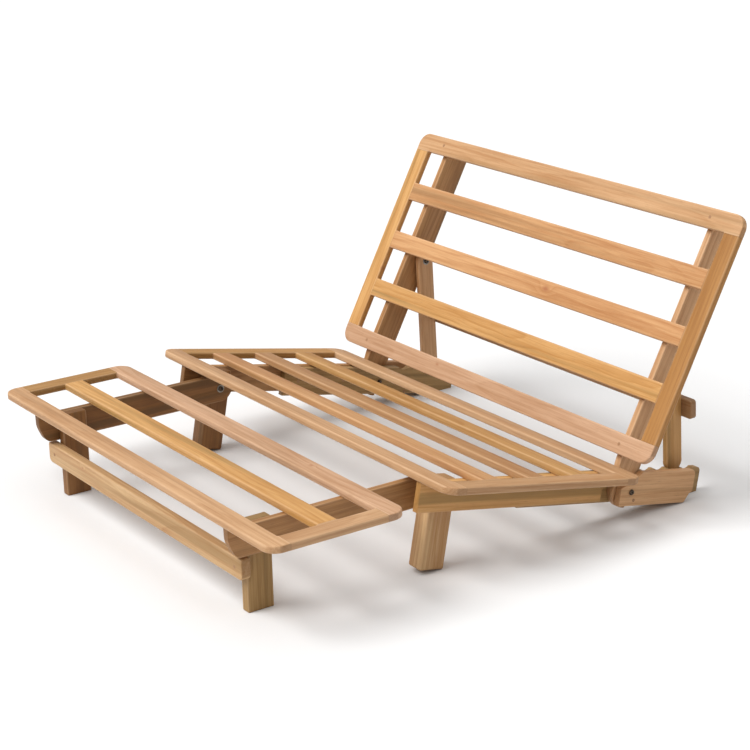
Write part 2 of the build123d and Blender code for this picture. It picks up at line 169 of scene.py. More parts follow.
def block(size, place=(0, 0, 0)):
    """A square-edged block with its size and place in its mesh."""
    bpy.ops.object.select_all(action="DESELECT")
    bpy.ops.mesh.primitive_cube_add(size=1, location=place)
    piece = bpy.context.object
    piece.scale = size
    bpy.ops.object.transform_apply(location=True, scale=True)
    return piece


def round_corners(piece, radius, segments, wanted=lambda a, b: True):
    """Rounds the edges that run through a block's thickness and that wanted() accepts."""
    choose_edges(piece, lambda a, b: abs(a.z - b.z) > 0.001 and wanted(a, b))
    bpy.ops.mesh.bevel(offset=radius, segments=segments, affect="EDGES")
    bpy.ops.object.mode_set(mode="OBJECT")


def round_over(piece, radius, segments=4):
    """Takes the arris off every sharp edge, as a router bit does."""
    pick(piece)
    bevel = piece.modifiers.new("Round-over", "BEVEL")
    bevel.width = radius
    bevel.segments = segments
    bevel.limit_method = "ANGLE"
    bevel.angle_limit = math.radians(40)
    bpy.ops.object.modifier_apply(modifier=bevel.name)


def lay(piece, node, turn, centre):
    """Lays a finished piece where its CAD node is and hands it to that node's body."""
    pick(piece)
    bpy.ops.object.shade_smooth_by_angle(angle=math.radians(32))
    piece.matrix_world = Matrix.Translation(centre) @ turn.to_4x4()
    bpy.ops.object.transform_apply(location=True, rotation=True, scale=True)
    piece.name = node + "_board"
    piece.data.name = piece.name
    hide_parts(node)
    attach(piece, body_of_node[node])


print("helpers ready")

# %% [markdown]
# ## Gluing up and routing a deck
# A deck is not a stack of rounded sticks. Its boards are glued up square, and then the
# round-over bit goes round the outside and round every opening in one pass. So the
# rounding runs straight across the joints, the faces are flush, and the bit leaves a
# small radius in each inner corner. The lesson does the same: one plate per deck, its
# openings cut by a boolean with round-cornered blocks, one bevel for the router, and at
# the end the plate is sawn into its boards along the joints with bisect. Each board is
# then a closed solid of its own and can have its own wood.

# %% Sizes of the router work
ROUND_OVER = 0.0070
OUTER_CORNER = 0.037
OUTER_CORNER_STEPS = 12
INNER_CORNER = 0.004
INNER_CORNER_STEPS = 4
# Hairline left open at a glued joint, so that each board stays a solid of its own.
JOINT = 0.0002
print("round-over", ROUND_OVER, "corners", OUTER_CORNER, INNER_CORNER, "joint", JOINT)


def in_deck(node, deck):
    """Lowest and highest corner of a node in its deck's directions, from the origin."""
    centre, size = measure(node, lies[deck + "_cross"])
    middle = lies[deck + "_cross"].transposed() @ centre
    return middle - size / 2, middle + size / 2


# %% Glue up and rout one deck
def routed_deck(deck, cross_nodes, side_node):
    """A whole deck as one routed plate in its own directions, with its joint lines."""
    boxes = [in_deck(node, deck) for node in cross_nodes]
    low, high = boxes[0][0], boxes[-1][1]
    inner = -in_deck(side_node, deck)[1].x
    plate = block(high - low, (low + high) / 2)
    round_corners(plate, OUTER_CORNER, OUTER_CORNER_STEPS)
    gaps = [(before[1].y, after[0].y) for before, after in zip(boxes, boxes[1:])]
    cutters = []
    for start, stop in gaps:
        cutter = block((2 * inner, stop - start, 3 * (high.z - low.z)),
                       (0, (start + stop) / 2, (low.z + high.z) / 2))
        round_corners(cutter, INNER_CORNER, INNER_CORNER_STEPS)
        cutters.append(cutter)
    for cutter in cutters:
        pick(plate)
        saw = plate.modifiers.new("Opening", "BOOLEAN")
        saw.operation = "DIFFERENCE"
        saw.solver = "EXACT"
        saw.object = cutter
        bpy.ops.object.modifier_apply(modifier=saw.name)
        bpy.data.objects.remove(cutter)
    round_over(plate, ROUND_OVER)
    print(deck, "plate with", len(gaps), "openings,", len(plate.data.polygons), "faces")
    return plate, inner, gaps


def sawn(plate, cuts):
    """A copy of the plate cut back to each (point, direction): what lies beyond goes."""
    pick(plate)
    bpy.ops.object.duplicate()
    piece = bpy.context.object
    bpy.ops.object.mode_set(mode="EDIT")
    for point, direction in cuts:
        bpy.ops.mesh.select_all(action="SELECT")
        bpy.ops.mesh.bisect(plane_co=point, plane_no=direction, use_fill=True,
                            clear_outer=True, threshold=0.000001)
    bpy.ops.object.mode_set(mode="OBJECT")
    return piece


# %% Saw the decks into boards
X, Y = Vector((1, 0, 0)), Vector((0, 1, 0))
deck_boards = {
    "footrest": (["footrest_front_rail", "footrest_slat", "footrest_back_rail"], "rail"),
    "seat": (["seat_front_rail", "seat_slat_1", "seat_slat_2", "seat_slat_3",
              "seat_back_rail"], "rail"),
    "back": (["back_bottom_rail", "back_slat_1", "back_slat_2", "back_slat_3",
              "back_top_rail"], "stile"),
}
cut = {}
for deck, (cross_nodes, side_word) in deck_boards.items():
    plate, inner, gaps = routed_deck(deck, cross_nodes, f"{deck}_left_{side_word}")
    middles = [(start + stop) / 2 for start, stop in gaps]
    between = [(-X * (inner - 2 * JOINT), -X), (X * (inner - 2 * JOINT), X)]
    first, last = gaps[0][0] + JOINT, gaps[-1][1] - JOINT
    for node, low, high in zip(cross_nodes[1:-1], middles, middles[1:]):
        cut[node] = sawn(plate, [(Y * low, -Y), (Y * high, Y)] + between)
    for side, sign in (("left", -1), ("right", 1)):
        inside = (X * sign * (inner - JOINT), -X * sign)
        ends = [(Y * (first + JOINT), -Y), (Y * (last - JOINT), Y)]
        cut[f"{deck}_{side}_{side_word}"] = sawn(plate, [inside] + ends)
    for node, joint, beyond, way in ((cross_nodes[0], first, middles[0], Y),
                                     (cross_nodes[-1], last, middles[-1], -Y)):
        cut[node] = sawn(plate, [(Y * joint, way)])
        corners = sawn(plate, [(Y * joint, -way), (Y * beyond, way)] + between)
        pick(cut[node])
        corners.select_set(True)
        bpy.ops.object.join()
    bpy.data.objects.remove(plate)
    for node in cut:
        if node.startswith(deck):
            lay(cut[node], node, lies[deck + "_cross"], Vector())
print("deck boards:", len(cut))

# %% [markdown]
# ## Legs, seat beams, stretcher and cross bar
# These are plain square sticks. The seat posts have generous rounded corners along their
# height, the stretcher has its two lower corners sawn round, and the cross bar is rounded
# at all four. One function cuts them all, and only the radii differ.

# %% Cut the legs, the seat's beams and the two long cross pieces
def cut_board(node, radius, corner=0.0, wanted=lambda a, b: True):
    """A board the size of its node, with corners rounded through its thickness first."""
    turn = lies[board_lie[node]]
    centre, size = measure(node, turn)
    board = block(size)
    if corner:
        round_corners(board, corner, SAWN_CORNER_STEPS, wanted)
    round_over(board, radius)
    lay(board, node, turn, centre)
    return board


SAWN_CORNER_STEPS = 8
LEG_ROUND = 0.0025
POST_ROUND = 0.0065
BEAM_ROUND = 0.002
CROSS_ROUND = 0.003
STRETCHER_CORNER = 0.014
CROSS_BAR_CORNER = 0.009
for side in ("left", "right"):
    for kind, radius in (("footrest_{}_leg", LEG_ROUND), ("seat_{}_leg", POST_ROUND),
                         ("seat_{}_beam", BEAM_ROUND)):
        cut[kind.format(side)] = cut_board(kind.format(side), radius)
cut["footrest_stretcher"] = cut_board("footrest_stretcher", CROSS_ROUND,
                                      STRETCHER_CORNER, lambda a, b: a.y < 0)
cut["prop_cross_bar"] = cut_board("prop_cross_bar", CROSS_ROUND, CROSS_BAR_CORNER)
print("boards cut:", len(cut))

# %% [markdown]
# ## Shaped members
# The footrest's beams with their curved noses, the back's beams, the scalloped rails, the
# cheeks and the props were already sawn to shape in CAD. Their outlines must not change,
# so a copy of each is taken, its loose triangles are merged into clean faces, and only
# its arrises are sanded. That keeps the joints exact and still catches the light.

# %% Sand a copy of a CAD member
def sanded_member(node, radius):
    """A copy of a CAD member with its flat faces merged and its sharp edges rounded."""
    source = nodes[node]
    member = bpy.data.objects.new(node, source.data.copy())
    bpy.context.scene.collection.objects.link(member)
    pick(member)
    bpy.ops.object.mode_set(mode="EDIT")
    bpy.ops.mesh.customdata_custom_splitnormals_clear()
    bpy.ops.mesh.select_all(action="SELECT")
    bpy.ops.mesh.remove_doubles(threshold=0.00001)
    bpy.ops.mesh.dissolve_limited(angle_limit=math.radians(0.5))
    bpy.ops.object.mode_set(mode="OBJECT")
    round_over(member, radius, 3)
    lay(member, node, Matrix.Identity(3), Vector())
    return member


SAND = {"footrest_{}_beam": 0.0018, "back_{}_beam": 0.0018, "{}_track_rail": 0.0020,
        "{}_cheek": 0.0018, "{}_prop": 0.0035, "{}_packer": 0.0010}
for pattern, radius in SAND.items():
    for side in ("left", "right"):
        cut[pattern.format(side)] = sanded_member(pattern.format(side), radius)
print("boards and members:", len(cut))

# %% [markdown]
# ## The wood finish
# One tree trunk is a stack of rings, and a board is a slice of it. So the grain is made
# as a solid: rings round a wavering heart line that runs beside the board, seen wherever
# the board's faces cut them. Faces then get long arches, edges get straight lines and
# ends get arcs, all of which agree at the corners, which a flat picture never does.
# Fine fibres, slow changes of colour and a few mineral streaks are stretched along the
# length. The group puts out a colour, a roughness and a height, and each board's
# material feeds it its own directions and its own place in the tree.

# %% Node helpers
def new_group(name, inputs, outputs):
    """Empty shader node group with (name, socket type, value) inputs and named outputs."""
    group = bpy.data.node_groups.new(name, "ShaderNodeTree")
    for label, kind, value in inputs:
        socket = group.interface.new_socket(label, in_out="INPUT", socket_type=kind)
        if value is not None:
            socket.default_value = value
    for label, kind in outputs:
        group.interface.new_socket(label, in_out="OUTPUT", socket_type=kind)
    return group


class Sheet:
    """Small helper that adds nodes to a tree and wires them by name."""

    def __init__(self, tree):
        self.tree = tree

    def add(self, kind, links=None, **settings):
        node = self.tree.nodes.new("ShaderNode" + kind)
        for key, value in settings.items():
            setattr(node, key, value)
        for key, value in (links or {}).items():
            socket = node.inputs[key]
            if isinstance(value, bpy.types.NodeSocket):
                self.tree.links.new(value, socket)
            else:
                socket.default_value = value
        return node

    def maths(self, operation, first, second=None, third=None, clamp=False):
        values = {i: v for i, v in enumerate((first, second, third)) if v is not None}
        return self.add("Math", values, operation=operation, use_clamp=clamp).outputs[0]

    def distance(self, place, centre, squash):
        away = self.add("VectorMath", {0: place, 1: centre}, operation="SUBTRACT")
        squashed = self.add("VectorMath", {0: away.outputs[0], 1: squash}, operation="MULTIPLY")
        length = self.add("VectorMath", {0: squashed.outputs[0]}, operation="LENGTH")
        return length.outputs["Value"]

    def noise(self, vector, stretch, detail=3.0, rough=0.55, distortion=0.0):
        stretched = self.add("VectorMath", {0: vector, 1: stretch}, operation="MULTIPLY")
        values = {"Vector": stretched.outputs[0], "Scale": 1.0, "Detail": detail,
                  "Roughness": rough, "Distortion": distortion}
        return self.add("TexNoise", values).outputs[0]

    def ramp(self, value, low, high, to_low=0.0, to_high=1.0):
        values = {"Value": value, "From Min": low, "From Max": high,
                  "To Min": to_low, "To Max": to_high}
        return self.add("MapRange", values, interpolation_type="SMOOTHSTEP").outputs[0]

    def blend(self, factor, first, second):
        # On a colour Mix node the two colours are sockets 6 and 7, and the result is 2.
        values = {0: factor, 6: first, 7: second}
        return self.add("Mix", values, data_type="RGBA").outputs[2]


print("node helpers ready")

# %% Rings and knots
# Noise repeats per metre along, across and through a board.
SLOW_WAVER = (1.6, 5.0, 5.0)
QUICK_WAVER = (5.5, 16.0, 16.0)
# The heart line runs along the board, so distance along it hardly counts.
RING_SQUASH = (0.035, 1.0, 1.0)
KNOT_SQUASH = (0.55, 1.0, 0.2)
# How far the waver pushes the rings and the knot's outline, in metres.
SLOW_PUSH = 0.050
QUICK_PUSH = 0.007
KNOT_PUSH = 0.006
# A knot's dark core ends this far past its size, and its swirl reaches this many sizes.
KNOT_EDGE = 0.003
KNOT_REACH = 3.2
KNOT_SWIRL = 1.6
# Late wood builds up slowly through a ring and stops at a sharp line.
LATE_POWER = 2.6
LATE_LINE = 0.90


def rings_and_knot(sheet, given):
    """Late wood of the rings, which swirl round a knot, and the distance to that knot."""
    waver = sheet.noise(given["Place"], SLOW_WAVER, 2.0)
    waver_more = sheet.noise(given["Place"], QUICK_WAVER, 3.0)
    radius = sheet.distance(given["Place"], given["Heart"], RING_SQUASH)
    radius = sheet.maths("MULTIPLY_ADD", waver, SLOW_PUSH, radius)
    radius = sheet.maths("MULTIPLY_ADD", waver_more, QUICK_PUSH, radius)
    knot_away = sheet.distance(given["Place"], given["Knot"], KNOT_SQUASH)
    knot_away = sheet.maths("MULTIPLY_ADD", waver_more, KNOT_PUSH, knot_away)
    knot_reach = sheet.maths("MULTIPLY", given["Knot size"], KNOT_REACH)
    knot_reach = sheet.maths("ADD", knot_reach, KNOT_EDGE)
    swirl = sheet.add("MapRange", {"Value": knot_away, "From Min": 0.0, "From Max": knot_reach,
                                   "To Min": given["Knot size"], "To Max": 0.0},
                      interpolation_type="SMOOTHERSTEP").outputs[0]
    radius = sheet.maths("MULTIPLY_ADD", swirl, KNOT_SWIRL, radius)
    ring = sheet.maths("FRACT", sheet.maths("DIVIDE", radius, given["Ring spacing"]))
    late = sheet.maths("POWER", ring, LATE_POWER)
    late = sheet.maths("MULTIPLY", late, sheet.ramp(ring, 1.0, LATE_LINE))
    return late, knot_away


print("a ring wavers by up to", SLOW_PUSH, "m")

# %% Fibres, bands and pores
FINE_FIBRE = (9.0, 380.0, 380.0)
COARSE_FIBRE = (3.5, 120.0, 120.0)
COLOUR_DRIFT = (1.1, 9.0, 9.0)
MINERAL_BAND = (0.55, 26.0, 26.0)
BAND_WOBBLE = 0.4
PORE = (42.0, 900.0, 900.0)
PORE_CUT = (0.62, 0.74)


def fibres_and_pores(sheet, place):
    """Fine and coarse fibre, slow drift of colour, mineral bands and open pores."""
    fine = sheet.noise(place, FINE_FIBRE, 4.0, 0.6)
    coarse = sheet.noise(place, COARSE_FIBRE, 3.0, 0.6)
    drift = sheet.noise(place, COLOUR_DRIFT, 2.0)
    band = sheet.noise(place, MINERAL_BAND, 3.0, 0.5, BAND_WOBBLE)
    pores = sheet.ramp(sheet.noise(place, PORE, 1.0), *PORE_CUT)
    return fine, coarse, drift, band, pores


print("fine fibre is stretched", round(FINE_FIBRE[1] / FINE_FIBRE[0]), "times along the board")

# %% The grain group
# Where each noise starts and stops to count, and how far it pulls pale towards deep.
DRIFT_CUT, DRIFT_PULL = (0.32, 0.70), 0.45
COARSE_CUT, COARSE_PULL = (0.38, 0.62), 0.42
FINE_CUT, FINE_PULL = (0.40, 0.64), 0.20
LEAST_PULL = 0.12
BAND_CUT = (0.54, 0.70)
PORE_PULL, PORE_BROWN = 0.30, (0.20, 0.11, 0.05, 1)
KNOT_PULL, KNOT_BROWN = 0.7, (0.34, 0.115, 0.045, 1)
# Deep wood is denser and takes a better polish than pale wood.
PALE_ROUGH, DEEP_POLISH, FIBRE_ROUGH = 0.52, -0.10, 0.12
FIBRE_HEIGHT, LATE_HEIGHT, PORE_DEPTH = 0.35, 0.30, 0.45


def grain_group():
    """Solid wood: rings, fibres, slow colour and streaks, in a board's own directions."""
    group = new_group("Poplar grain", [
        ("Place", "NodeSocketVector", None), ("Heart", "NodeSocketVector", (0, 0.03, 0.06)),
        ("Pale", "NodeSocketColor", None), ("Deep", "NodeSocketColor", None),
        ("Streak", "NodeSocketColor", None), ("Streaks", "NodeSocketFloat", 0.5),
        ("Ring spacing", "NodeSocketFloat", 0.008), ("Ring strength", "NodeSocketFloat", 0.5),
        ("Knot", "NodeSocketVector", None), ("Knot size", "NodeSocketFloat", 0.0),
    ], [("Colour", "NodeSocketColor"), ("Roughness", "NodeSocketFloat"),
        ("Height", "NodeSocketFloat")])
    sheet = Sheet(group)
    given = group.nodes.new("NodeGroupInput").outputs
    out = group.nodes.new("NodeGroupOutput")
    late, knot_away = rings_and_knot(sheet, given)
    fine, coarse, drift, band, pores = fibres_and_pores(sheet, given["Place"])

    deep = sheet.maths("MULTIPLY", late, given["Ring strength"])
    deep = sheet.maths("MULTIPLY_ADD", sheet.ramp(drift, *DRIFT_CUT), DRIFT_PULL, deep)
    deep = sheet.maths("MULTIPLY_ADD", sheet.ramp(coarse, *COARSE_CUT), COARSE_PULL, deep)
    deep = sheet.maths("MULTIPLY_ADD", sheet.ramp(fine, *FINE_CUT), FINE_PULL, deep)
    deep = sheet.maths("SUBTRACT", deep, LEAST_PULL, clamp=True)
    colour = sheet.blend(deep, given["Pale"], given["Deep"])
    streak = sheet.maths("MULTIPLY", sheet.ramp(band, *BAND_CUT), given["Streaks"])
    colour = sheet.blend(streak, colour, given["Streak"])
    colour = sheet.blend(sheet.maths("MULTIPLY", pores, PORE_PULL), colour, PORE_BROWN)
    knot_edge = sheet.maths("ADD", given["Knot size"], KNOT_EDGE)
    knot_heart = sheet.maths("MULTIPLY", given["Knot size"], 0.5)
    core = sheet.add("MapRange", {"Value": knot_away, "From Min": knot_edge,
                                  "From Max": knot_heart, "To Min": 0.0,
                                  "To Max": KNOT_PULL}).outputs[0]
    colour = sheet.blend(core, colour, KNOT_BROWN)

    rough = sheet.maths("MULTIPLY_ADD", deep, DEEP_POLISH, PALE_ROUGH)
    rough = sheet.maths("MULTIPLY_ADD", coarse, FIBRE_ROUGH, rough)
    height = sheet.maths("MULTIPLY", late, LATE_HEIGHT)
    height = sheet.maths("MULTIPLY_ADD", fine, FIBRE_HEIGHT, height)
    height = sheet.maths("SUBTRACT", height, sheet.maths("MULTIPLY", pores, PORE_DEPTH))
    for label, value in (("Colour", colour), ("Roughness", rough), ("Height", height)):
        group.links.new(value, out.inputs[label])
    return group


GRAIN = grain_group()
print("group", GRAIN.name, "with", len(GRAIN.nodes), "nodes")


# %% [markdown]
# ## Pale arrises, painted highlight and end grain
# Handling polishes and lightens the long arrises of a board, and the same lightening is a
# painted highlight where the rounded edge catches the light. Its sawn ends drink more finish
# and turn darker. Both depend only on where a point is in its board, so a second group
# compares the point with half the board's size.

# %% The arris and end group, with painted highlight
# How far inside the board's size the pale arris and the dark end start and are complete, in metres.
ARRIS_IN, ARRIS_OUT = 0.0060, 0.0008
END_IN, END_OUT = 0.0022, 0.0004
# Handling, and with it the painted highlight, is patchy, and never quite leaves an arris alone.
PATCHES = (14.0, 60.0, 60.0)
PATCH_CUT = (0.25, 0.75)
LEAST_PATCH = 0.35


def wear_group():
    """Masks for the arrises and for the sawn ends of a board of a known half size."""
    group = new_group("Arris and end", [
        ("Place", "NodeSocketVector", None), ("Half size", "NodeSocketVector", None),
    ], [("Arris", "NodeSocketFloat"), ("End", "NodeSocketFloat")])
    sheet = Sheet(group)
    given = group.nodes.new("NodeGroupInput").outputs
    out = group.nodes.new("NodeGroupOutput")
    size = sheet.add("VectorMath", {0: given["Place"]}, operation="ABSOLUTE").outputs[0]
    inside = sheet.add("VectorMath", {0: given["Half size"], 1: size}, operation="SUBTRACT")
    split = sheet.add("SeparateXYZ", {0: inside.outputs[0]}).outputs
    patch = sheet.noise(given["Place"], PATCHES, 3.0)
    patch = sheet.ramp(patch, *PATCH_CUT, LEAST_PATCH, 1.0)
    width = sheet.ramp(split[1], ARRIS_IN, ARRIS_OUT)
    depth = sheet.ramp(split[2], ARRIS_IN, ARRIS_OUT)
    arris = sheet.maths("MULTIPLY", sheet.maths("MULTIPLY", width, depth), patch)
    end = sheet.ramp(split[0], END_IN, END_OUT)
    group.links.new(arris, out.inputs["Arris"])
    group.links.new(end, out.inputs["End"])
    return group


WEAR_AND_HIGHLIGHT = wear_group()
print("group", WEAR_AND_HIGHLIGHT.name)


# %% [markdown]
# ## One finish per board
# Boards from the same stack still differ: some are pinkish, some golden, a few have a greenish
# heartwood streak. Each tone below is a pale colour, a deep colour and a streak colour, and
# each board also starts at its own place in the tree. The shade and brown tones, and in part
# the olive one, are painted shade: they darken the legs, beams and rails that stand in shade
# under the decks.

# %% Tones of the wood, and painted shade
TONES_AND_SHADES = {
    "pink": ((0.595, 0.362, 0.192), (0.410, 0.208, 0.088), (0.305, 0.168, 0.078)),
    "rosy": ((0.590, 0.365, 0.225), (0.405, 0.212, 0.104), (0.300, 0.170, 0.084)),
    "orange": ((0.600, 0.332, 0.148), (0.415, 0.182, 0.062), (0.300, 0.155, 0.058)),
    "tan": ((0.600, 0.355, 0.180), (0.420, 0.205, 0.080), (0.300, 0.170, 0.066)),
    "golden": ((0.600, 0.335, 0.122), (0.430, 0.200, 0.050), (0.300, 0.170, 0.050)),
    "amber": ((0.390, 0.185, 0.050), (0.270, 0.110, 0.024), (0.195, 0.095, 0.026)),
    # The brown and shade tones are painted shade for beams and legs under the decks.
    "painted_shade_brown": ((0.400, 0.205, 0.078), (0.240, 0.108, 0.033), (0.160, 0.090, 0.036)),
    "shade": ((0.265, 0.120, 0.034), (0.155, 0.062, 0.014), (0.120, 0.058, 0.016)),
    "green": ((0.570, 0.375, 0.190), (0.385, 0.190, 0.068), (0.290, 0.165, 0.060)),
    # Olive is a greenish wood, darkened as painted shade.
    "olive_and_painted_shade": ((0.410, 0.250, 0.098), (0.255, 0.140, 0.042), (0.190, 0.115, 0.038)),
}
# Legs, beams and rails that stand in shade under the decks get the painted shade tones.
tone_and_shade_of_board = {
    "footrest_slat": "golden", "footrest_left_rail": "golden", "footrest_stretcher": "green",
    "seat_slat_3": "golden", "seat_slat_2": "orange", "seat_left_rail": "golden",
    "seat_slat_1": "orange", "footrest_back_rail": "rosy", "back_bottom_rail": "rosy",
    "back_slat_1": "golden", "back_left_stile": "golden", "back_right_stile": "amber",
    "back_slat_3": "orange", "back_slat_2": "orange", "back_top_rail": "tan",
    "left_cheek": "tan", "right_cheek": "tan", "left_prop": "tan", "right_prop": "golden",
    "seat_left_leg": "shade", "seat_right_leg": "green", "footrest_left_leg": "shade",
    "footrest_right_leg": "olive_and_painted_shade", "prop_cross_bar": "tan", "footrest_left_beam": "shade",
    "left_track_rail": "olive_and_painted_shade", "right_track_rail": "olive_and_painted_shade", "seat_right_beam": "golden",
    "back_right_beam": "pink", "seat_right_rail": "tan",
}
# Some boards of one tone are a little lighter or darker than the rest. Several factors are
# painted light and shade as well: they darken boards that get less light, such as the seat's
# boards and the cross bar, and lighten a few on the back.
lightness_and_shade_of_board = {
    "footrest_front_rail": 0.93, "footrest_left_rail": 0.70, "seat_slat_2": 0.72,
    "seat_slat_1": 0.84, "seat_slat_3": 0.80, "seat_back_rail": 0.82, "seat_left_rail": 0.80,
    "seat_front_rail": 0.92, "seat_right_rail": 0.78, "back_left_stile": 1.08,
    "right_prop": 0.88, "prop_cross_bar": 0.60, "back_left_beam": 1.12,
    "footrest_right_rail": 0.88, "right_cheek": 1.05,
}
print(len(TONES_AND_SHADES), "tones,", len(lightness_and_shade_of_board), "boards a little lighter or darker")

# %% Knots
# Each knot: its place along and across its board, and its size.
KNOTS = {
    "back_slat_2": ((0.089, 0.004), 0.010), "back_left_stile": ((-0.0935, -0.026), 0.006),
    "footrest_back_rail": ((0.31, 0.006), 0.005), "seat_slat_1": ((-0.36, -0.008), 0.006),
    "back_bottom_rail": ((-0.22, 0.010), 0.004), "footrest_stretcher": ((-0.30, 0.012), 0.005),
}
print(len(KNOTS), "knots")

# %% Where a board stood in its tree
# Half the length and half the width of the stand of trees the boards come from.
STAND_LENGTH, STAND_WIDTH = 40, 9
# The heart line passes beside the board, on one face or the other.
HEART_ALONG, HEART_ACROSS, HEART_DEPTH = 0.6, 0.04, (0.03, 0.09)
# A board with no knot gets its knot this many half thicknesses away.
NO_KNOT = 99


def place_in_tree(node, thickness, draw):
    """Start of a board in the wood, the heart line beside it, its knot and knot size."""
    start = Vector((draw.uniform(-STAND_LENGTH, STAND_LENGTH),
                    draw.uniform(-STAND_WIDTH, STAND_WIDTH),
                    draw.uniform(-STAND_WIDTH, STAND_WIDTH)))
    heart = start + Vector((draw.uniform(-HEART_ALONG, HEART_ALONG),
                            draw.uniform(-HEART_ACROSS, HEART_ACROSS),
                            draw.choice((-1, 1)) * draw.uniform(*HEART_DEPTH)))
    (along, over), knot_size = KNOTS.get(node, ((0, 0), 0.0))
    knot_height = thickness / 2 * (1 if knot_size else NO_KNOT)
    return start, heart, start + Vector((along, over, knot_height)), knot_size


print("heart lines", HEART_DEPTH, "m from the middle of each board")

# %% The finish of one board
LIGHTNESS = (0.96, 1.04)
STREAKS = (0.4, 0.95)
RING_SPACING = (0.007, 0.012)
RING_STRENGTH = (0.28, 0.58)
# Rubbed bare wood, which is also a painted highlight on the arrises; one strength serves the arrises and the ends.
BARE_AND_HIGHLIT_WOOD = (0.66, 0.46, 0.29)
ARRIS_AND_END_STRENGTH = 0.55
END_DARKENING = 0.62
GRAIN_DEPTH, GRAIN_BUMP = 0.0006, 0.35
WOOD_GLOSS = 0.35


def board_material(node, seed):
    """The wood of one board, in its own directions and from its own place in the tree."""
    draw = random.Random(seed)
    turn = lies[board_lie[node]]
    centre, size = measure(node, turn)
    # Beams with no listed tone get the brown tone, painted shade for their place under the decks.
    tone = tone_and_shade_of_board.get(node, "painted_shade_brown" if "beam" in node else "pink")
    pale, deep, streak = TONES_AND_SHADES[tone]
    # The factor from the table above is partly painted shade and painted light.
    lighter = draw.uniform(*LIGHTNESS) * lightness_and_shade_of_board.get(node, 1.0)
    pale_here = [lighter * tint for tint in pale]
    deep_here = [lighter * tint for tint in deep]
    start, heart, knot, knot_size = place_in_tree(node, size.z, draw)
    material = bpy.data.materials.new("Wood of " + node.replace("_", " "))
    material.use_nodes = True
    sheet = Sheet(material.node_tree)
    shader = material.node_tree.nodes["Principled BSDF"]
    coordinates = sheet.add("TexCoord").outputs["Object"]
    place = sheet.add("Mapping", {"Vector": coordinates, "Location": centre,
                                  "Rotation": turn.to_euler("XYZ")}, vector_type="TEXTURE")
    in_tree = sheet.add("VectorMath", {0: place.outputs[0], 1: start}, operation="ADD")
    grain = sheet.add("Group", {
        "Knot": knot, "Knot size": knot_size, "Place": in_tree.outputs[0], "Heart": heart,
        "Pale": [*pale_here, 1], "Deep": [*deep_here, 1], "Streak": [*streak, 1],
        "Streaks": draw.uniform(*STREAKS), "Ring spacing": draw.uniform(*RING_SPACING),
        "Ring strength": draw.uniform(*RING_STRENGTH)}, node_tree=GRAIN)
    arris_and_end = sheet.add("Group", {"Place": place.outputs[0], "Half size": size / 2},
                     node_tree=WEAR_AND_HIGHLIGHT)
    # Arrises go towards bare wood: real handling, and a painted highlight where the rounded edge catches the
    # light.
    worn_and_highlit = sheet.maths("MULTIPLY", arris_and_end.outputs["Arris"], ARRIS_AND_END_STRENGTH)
    rubbed_and_highlit = [0.5 * tint + 0.5 * bare for tint, bare in zip(pale_here, BARE_AND_HIGHLIT_WOOD)]
    colour = sheet.blend(worn_and_highlit, grain.outputs["Colour"], [*rubbed_and_highlit, 1])
    sawn_end = sheet.maths("MULTIPLY", arris_and_end.outputs["End"], ARRIS_AND_END_STRENGTH)
    thirsty = [END_DARKENING * tint for tint in deep]
    colour = sheet.blend(sawn_end, colour, [*thirsty, 1])
    bump = sheet.add("Bump", {"Height": grain.outputs["Height"], "Distance": GRAIN_DEPTH,
                              "Strength": GRAIN_BUMP})
    links = sheet.tree.links
    links.new(colour, shader.inputs["Base Color"])
    links.new(grain.outputs["Roughness"], shader.inputs["Roughness"])
    links.new(bump.outputs[0], shader.inputs["Normal"])
    shader.inputs["Specular IOR Level"].default_value = WOOD_GLOSS
    return material


print("finish ready, end grain", END_DARKENING, "times the deep tone")

# %% Give every board its wood
FIRST_SEED = 100


def put_on(piece, material):
    """One material over the whole piece."""
    piece.data.materials.clear()
    piece.data.materials.append(material)


for seed, node in enumerate(sorted(board_lie), FIRST_SEED):
    put_on(cut[node], board_material(node, seed))
print("wood for", len(board_lie), "boards")


# %% [markdown]
# ## Metal hardware and plugs
# The bolts and cap nuts are bronzed, nearly black, and the washers are zinc plated. Both
# platings are blotchy and rubbed where a spanner touched them, so one function makes
# them from two colours. The plugs are face-grain wood, cut from a darker offcut.

# %% Plated steel, pale and dark
CLOUDS, CLOUD_CUT, CLOUD_ROUGH = (160.0, 160.0, 160.0), (0.3, 0.7), 0.25
SCRATCHES, SCRATCH_ROUGH = (1400.0, 900.0, 1200.0), 0.15
SCRATCH_DEPTH, SCRATCH_BUMP = 0.0001, 0.3


def plated_material(name, dark, light, least_rough):
    """Plated steel with a cloudy colour and fine scratches."""
    material = bpy.data.materials.new(name)
    material.use_nodes = True
    sheet = Sheet(material.node_tree)
    shader = material.node_tree.nodes["Principled BSDF"]
    place = sheet.add("TexCoord").outputs["Object"]
    cloud = sheet.noise(place, CLOUDS, 4.0)
    scratch = sheet.noise(place, SCRATCHES, 2.0)
    colour = sheet.blend(sheet.ramp(cloud, *CLOUD_CUT), [*dark, 1], [*light, 1])
    rough = sheet.maths("MULTIPLY_ADD", cloud, CLOUD_ROUGH, least_rough)
    rough = sheet.maths("MULTIPLY_ADD", scratch, SCRATCH_ROUGH, rough)
    bump = sheet.add("Bump", {"Height": scratch, "Distance": SCRATCH_DEPTH,
                              "Strength": SCRATCH_BUMP})
    sheet.tree.links.new(colour, shader.inputs["Base Color"])
    sheet.tree.links.new(rough, shader.inputs["Roughness"])
    sheet.tree.links.new(bump.outputs[0], shader.inputs["Normal"])
    shader.inputs["Metallic"].default_value = 1.0
    return material


